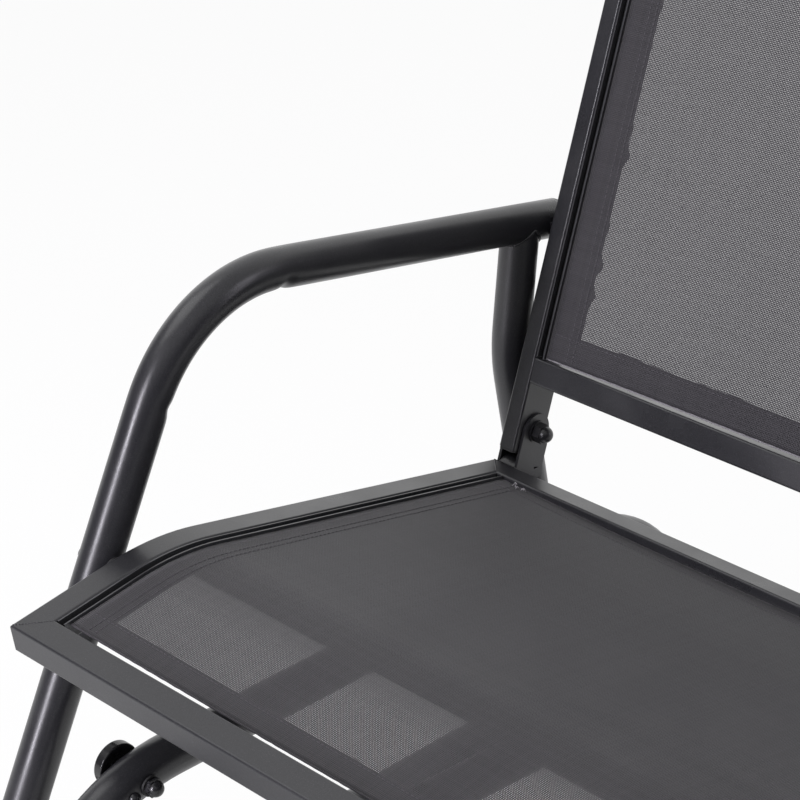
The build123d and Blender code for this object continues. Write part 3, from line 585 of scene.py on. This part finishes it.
def addWelds():
    lean = radians(frameLines["archSplay"])
    archX = middleOf("arch_right").x
    crossZ = middleOf("lower_cross_tube_front").z
    for side, sign in (("left", -1), ("right", 1)):
        for end, way in (("front", -1), ("rear", 1)):
            foot = middleOf("foot_bar_" + end)
            addCope(f"weld_arch_{end}_{side}", (sign * archX, foot.y, foot.z),
                    (0, -way * sin(lean), cos(lean)), frameLines["archRadius"], (1, 0, 0),
                    frameLines["footRadius"], "base")
            cross = middleOf("lower_cross_tube_" + end)
            addCope(f"weld_cross_{end}_{side}", (sign * loopX, cross.y, crossZ), (-sign, 0, 0),
                    frameLines["crossRadius"], (0, 1, 0), frameLines["armRadius"], "seat_unit")
            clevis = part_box(f"link_clevis_{end}_{side}")
            for face, edge in ((-1, clevis[0].y), (1, clevis[1].y)):
                straightBead(f"weld_clevis_{end}_{side}_{'front' if face < 0 else 'rear'}",
                             (clevis[0].x, edge, crossZ + 0.0005), (clevis[1].x, edge, crossZ + 0.0005),
                             (0, face, -0.3), "seat_unit", weld["clevisRadius"])
        x = sign * loopX
        (footY, footZ), (kneeY, kneeZ) = frameLines["legFoot"], frameLines["legKnee"]
        topY = frameLines["legTop"][0]
        addCope(f"weld_leg_foot_{side}", (x, footY, footZ), (0, kneeY - footY, kneeZ - footZ),
                frameLines["legRadius"], (0, 1, 0), frameLines["armRadius"], "seat_unit")
        fall = radians(armLoop["fall"])
        addCope(f"weld_leg_top_{side}", (x, topY, armZ(topY)),
                (0, kneeY - topY, kneeZ - frameLines["legTop"][1]), frameLines["legRadius"],
                (0, cos(fall), -sin(fall)), frameLines["armRadius"], "seat_unit",
                weld["legTopRadius"])


def addSeatBeads():
    # A nearly flush bead along each mitre of the seat frame, and one where a bracket meets it.
    half, sink = frameLines["seatHalf"], weld["mitreSink"]
    start, stop = weld["mitreInset"], frameLines["railSize"] - 0.001
    for side, sign in (("left", -1), ("right", 1)):
        for end, way, tilt in (("Front", 1, radians(frameLines["rise"])),
                               ("Rear", -1, radians(frameLines["fall"]))):
            y, z = frameLines["seat" + end]
            # a point on the mitre, so far in from both outer edges of the frame's top
            outside, inside = ((sign * (half - inset), y + way * inset * cos(tilt),
                                z + inset * sin(tilt) - sink) for inset in (start, stop))
            up = (0, -way * sin(tilt), cos(tilt))
            straightBead(f"weld_seat_{end.lower()}_{side}", outside, inside, up, "seat_unit",
                         weld["mitreRadius"])
        low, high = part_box("back_bracket_" + side)
        y, z = frameLines["seatRear"]
        straightBead(f"weld_bracket_{side}", (low.x + 0.001, y + 0.0006, z - 0.0030),
                     (high.x - 0.001, y + 0.0006, z - 0.0030), (0, 0.5, 1), "seat_unit",
                     weld["bracketRadius"])


addWelds()
addSeatBeads()
print("welds are laid")


# slings: thin closed sheets held along their two sides
seatSling = {
    "rise": 9.5, "fall": 11.1, "kneeY": -0.1515, "kneeRadius": 0.210, "cadThickness": 0.0016,
    "cloth": 0.00006, "sag": 0.004, "bow": 0.0012,
    "sideHem": 0.024, "frontHem": 0.021, "rearHem": 0.016, "tufts": (),
}
backSling = {
    "recline": 17.8, "cadThickness": 0.0016, "cloth": 0.00006, "sag": 0.003, "bow": 0.0010,
    "sideHem": 0.029, "endHem": 0.025, "tufts": (0.061, 0.086, 0.175),
}
stitching = {"pitch": 0.0042, "length": 0.0031, "radius": 0.00034, "rowGap": 0.006}
rawEdge = {"tuftHeight": 0.0042, "tuftWidth": 0.0055}
looseThreads = {
    "count": 5, "radius": 0.00022, "reach": 0.0045, "rise": 0.0042, "gap": 0.0035,
    "fromSide": 0.022, "fromEnd": 0.004,
}


def seatLine():
    # Middle line (Y, Z) of the seat sling: two straight runs and the arc between them.
    low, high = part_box("seat_sling")
    rise, fall = radians(seatSling["rise"]), radians(seatSling["fall"])
    half = seatSling["cadThickness"] / 2
    startY = low.y + half * sin(rise)
    endY = high.y - half * sin(fall)
    endZ = low.z + half * cos(fall)
    kneeZ = endZ + (endY - seatSling["kneeY"]) * tan(fall)
    startZ = kneeZ - (seatSling["kneeY"] - startY) * tan(rise)
    return roundedPath([(startY, startZ), (seatSling["kneeY"], kneeZ), (endY, endZ)],
                       [seatSling["kneeRadius"]], 0.004)[0]


def backLine():
    low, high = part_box("back_sling")
    lean = radians(backSling["recline"])
    half = backSling["cadThickness"] / 2
    start = np.array([low.y + half * cos(lean), low.z + half * sin(lean)])
    end = np.array([high.y - half * cos(lean), high.z - half * sin(lean)])
    return start + np.linspace(0, 1, 90)[:, None] * (end - start)


class Sling:
    # A sheet between two sides: at(u, v, lift) gives points u across and v along it, in metres,
    # lifted off its face.  The cloth hangs below the straight line between its sides by
    # sag (1 - (2u / width)^2), and its free ends draw in by the same curve.

    def __init__(self, line, width, sag, bow, faceUp):
        self.line = line
        self.gone = arcLength(line)
        self.length = self.gone[-1]
        self.width = width
        self.sag = sag
        self.bow = bow
        along = unit(np.gradient(line, axis=0))
        self.normal = faceUp * np.column_stack([-along[:, 1], along[:, 0]])

    def at(self, u, v, lift=0.0):
        u, v = np.broadcast_arrays(np.asarray(u, float), np.asarray(v, float))
        arch = 1 - (2 * u / self.width) ** 2
        drawn = v + self.bow * arch * (1 - 2 * v / self.length)
        y, z = (np.interp(drawn, self.gone, self.line[:, k]) for k in (0, 1))
        ny, nz = (np.interp(drawn, self.gone, self.normal[:, k]) for k in (0, 1))
        off = lift - self.sag * arch
        return np.stack([u, y + ny * off, z + nz * off], -1), np.stack([0 * u, ny, nz], -1)


def addSheet(name, sling, u, v, lift, thickness, material):
    # Closed thin sheet over a grid of u across and v along: a top, a bottom and an edge.
    rows, columns = u.shape
    centre, normal = sling.at(u, v, lift)
    points = np.concatenate([(centre + normal * thickness / 2).reshape(-1, 3),
                             (centre - normal * thickness / 2).reshape(-1, 3)])
    top = gridQuads(rows, columns)
    count = rows * columns
    edge = np.concatenate([np.arange(columns), np.arange(1, rows) * columns + columns - 1,
                           (rows - 1) * columns + np.arange(columns - 2, -1, -1),
                           np.arange(rows - 2, 0, -1) * columns])
    after = np.roll(edge, -1)
    rim = np.stack([edge, edge + count, after + count, after], -1)
    faces = np.concatenate([top, top[:, ::-1] + count, rim])
    flat = np.concatenate([np.stack([u, v], -1).reshape(-1, 2)] * 2)
    a, b, c = points[top[0, 0]], points[top[0, 1]], points[top[0, 3]]
    if np.cross(b - a, c - a) @ normal.reshape(-1, 3)[0] < 0:
        faces = faces[:, ::-1]
    return addPiece(name, points, faces, material, "seat_unit", flat=flat)


def addStitches(name, sling, rows, lift):
    # Rows of small rounded stitches; each row is a list of (u, v) along which it runs.
    ways, places, ups = [], [], []
    for start, end in rows:
        start, end = np.array(start), np.array(end)
        count = int(np.linalg.norm(end - start) / stitching["pitch"])
        t = (np.arange(count)[:, None] + 0.5) / count
        uv = start + t * (end - start)
        here, normal = sling.at(uv[:, 0], uv[:, 1], lift)
        near = uv + (end - start) / np.linalg.norm(end - start) * 0.001
        ways.append(unit(sling.at(near[:, 0], near[:, 1], lift)[0] - here))
        places.append(here)
        ups.append(normal)
    way, place, up = (np.concatenate(part)[:, None, None] for part in (ways, places, ups))
    aside = np.cross(way, up)
    # along the stitch t runs from -1 to 1, and its radius is r sqrt(1 - t^2), squared off a little
    t = np.array([-0.98, -0.7, 0.0, 0.7, 0.98])[None, :, None, None]
    angle = np.linspace(0, 2 * pi, 6, endpoint=False)[None, None, :, None]
    radius = stitching["radius"] * (1 - t ** 4) ** 0.5
    points = place + way * t * stitching["length"] / 2 + radius * (np.cos(angle) * aside
                                                                   + np.sin(angle) * up)
    one = gridQuads(5, 6, closeColumns=True)
    shift = (np.arange(len(place)) * 30)[:, None, None]
    faces = (one[None] + shift).reshape(-1, 4).tolist()
    caps = np.arange(6)
    for k in range(len(place)):
        faces.append((caps[::-1] + 30 * k).tolist())
        faces.append((caps + 24 + 30 * k).tolist())
    return addPiece(name, points, faces, threadMaterial, "seat_unit")


def waver(t, size, seed):
    # An uneven edge: three sines of unlike lengths.
    waves = np.sin(t * 71 + seed) + 0.7 * np.sin(t * 173 + 2 * seed) + 0.5 * np.sin(t * 391 + seed)
    return size * waves / 2.2


def hemStrip(name, sling, u0, u1, v0, v1, lift, seed=0.0, innerAt="none", tufts=()):
    # A second layer of cloth under the sling, from u0 to u1 and v0 to v1, one edge uneven.
    columns = max(4, int(abs(u1 - u0) / 0.006) + 2)
    rows = max(4, int(abs(v1 - v0) / (0.002 if tufts else 0.006)) + 2)
    s, t = np.meshgrid(np.linspace(0, 1, columns), np.linspace(0, 1, rows))
    u = u0 + (u1 - u0) * s
    v = v0 + (v1 - v0) * t
    if innerAt == "u":
        u = u + s * waver(v, 0.0007, seed)
        for middle in tufts:  # a bulge where the raw edge was caught up in the seam
            bulge = np.exp(-((v - middle) / rawEdge["tuftWidth"]) ** 2)
            u = u + s * np.sign(u1 - u0) * rawEdge["tuftHeight"] * bulge
    if innerAt == "v":
        v = v + t * waver(u, 0.0006, seed)
    return addSheet(name, sling, u, v, lift, 0.0002, hemCloth)


def endRoll(name, sling, v, material, radius=0.0007):
    # The fold at a free end of the sling, as a slim roll carried across it.
    u = np.linspace(-sling.width / 2 + 0.0005, sling.width / 2 - 0.0005, 120)
    here, normal = sling.at(u, np.full_like(u, v), -radius * 0.6)
    level = unit(np.gradient(here, axis=0))
    out = np.cross(level, normal)
    angle = np.linspace(0, 2 * pi, 10, endpoint=False)
    size = radius * (1 + 0.12 * np.sin(u * 500) + 0.1 * np.sin(u * 911))
    ring = ringRound(angle, normal, out)
    points = here[:, None] + size[:, None, None] * ring
    faces = gridQuads(len(u), 10, closeColumns=True).tolist()
    faces += [list(range(10)), [(len(u) - 1) * 10 + k for k in range(10)][::-1]]
    flat = np.stack(np.broadcast_arrays(u[:, None], v + angle[None] * radius), -1)
    return addPiece(name, points, [f[::-1] for f in faces], material, "seat_unit",
                    flat=flat)


def addLooseThreads(name, sling, u, v):
    # Short thread ends left at a corner: each is an arc that stands up and falls over.
    steps, sides = 9, 6
    t = np.linspace(0, 1, steps)[:, None]
    points, faces = [], []
    angle = np.linspace(0, 2 * pi, sides, endpoint=False)
    base, normal = (part[0] for part in sling.at(np.array([u]), np.array([v])))
    for k in range(looseThreads["count"]):
        way = np.array([cos(2.3 * k), 0.6 * sin(2.3 * k), 0.0])
        root = base + np.array([looseThreads["gap"] * (k - 2), -0.0004 * k, 0.0002])
        rise = looseThreads["rise"] * np.sin(2.4 * t + 0.2 * k) * (1 - 0.1 * k)
        line = root + way * looseThreads["reach"] * t + normal * rise
        along = unit(np.gradient(line, axis=0))
        aside = unit(np.cross(along, np.array([0.31, 0.77, 0.2])))
        over = np.cross(along, aside)
        ring = ringRound(angle, aside, over)
        start = steps * sides * k
        end = start + (steps - 1) * sides
        points.append((line[:, None] + looseThreads["radius"] * ring).reshape(-1, 3))
        faces += (gridQuads(steps, sides, closeColumns=True)[:, ::-1] + start).tolist()
        faces += [[start + j for j in range(sides)], [end + j for j in range(sides)][::-1]]
    return addPiece(name, np.concatenate(points), [f[::-1] for f in faces], looseMaterial,
                    "seat_unit")


def makeSling(name, sling, values, hems, innerLift):
    # The main sheet with its side and end hems, folds and stitches.
    half = sling.width / 2
    u, v = np.meshgrid(np.linspace(-half, half, 91), np.linspace(0, sling.length, 121))
    cloth = addSheet(name + "_cloth", sling, u, v, 0.0, values["cloth"], meshCloth)
    extra = []
    side = values["sideHem"]
    for label, sign in (("left", -1), ("right", 1)):
        extra.append(hemStrip(f"{name}_side_hem_{label}", sling, sign * half, sign * (half - side),
                              0.0, sling.length, innerLift, 1.0 + sign, "u", values["tufts"]))
    for label, depth, start, way in hems:
        extra.append(hemStrip(f"{name}_{label}_hem", sling, -half + side, half - side, start,
                              start + way * depth, innerLift, 3.0, "v"))
        # the lower fold takes the lighter cloth copy, a painted highlight; the other folds take the hem
        # cloth
        fold = foldPaintedHighlight if label == "lower" else hemCloth
        extra.append(endRoll(f"{name}_{label}_fold", sling, start, fold))
    rows = []
    for sign in (-1, 1):
        for inset in (side - 0.003, side - 0.003 - stitching["rowGap"]):
            rows.append(((sign * (half - inset), 0.003), (sign * (half - inset), sling.length - 0.003)))
    for label, depth, start, way in hems:
        level = start + way * (depth - 0.003)
        rows.append(((-half + 0.004, level), (half - 0.004, level)))
    extra.append(addStitches(name + "_stitches", sling, rows, 0.0002))
    if name == "seat_sling":
        extra.append(addLooseThreads(name + "_threads", sling, looseThreads["fromSide"] - half,
                                     sling.length - looseThreads["fromEnd"]))
    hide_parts(name)
    return extra


seatLow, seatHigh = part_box("seat_sling")
seat = Sling(seatLine(), seatHigh.x - seatLow.x, seatSling["sag"], seatSling["bow"], 1)
makeSling("seat_sling", seat, seatSling,
          [("front", seatSling["frontHem"], 0.0, 1), ("rear", seatSling["rearHem"], seat.length, -1)],
          -0.0006)
backLow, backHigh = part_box("back_sling")
back = Sling(backLine(), backHigh.x - backLow.x, backSling["sag"], backSling["bow"], 1)
makeSling("back_sling", back, backSling,
          [("lower", backSling["endHem"], 0.0, 1), ("upper", backSling["endHem"], back.length, -1)],
          -0.0006)
print("slings are stretched and sewn")
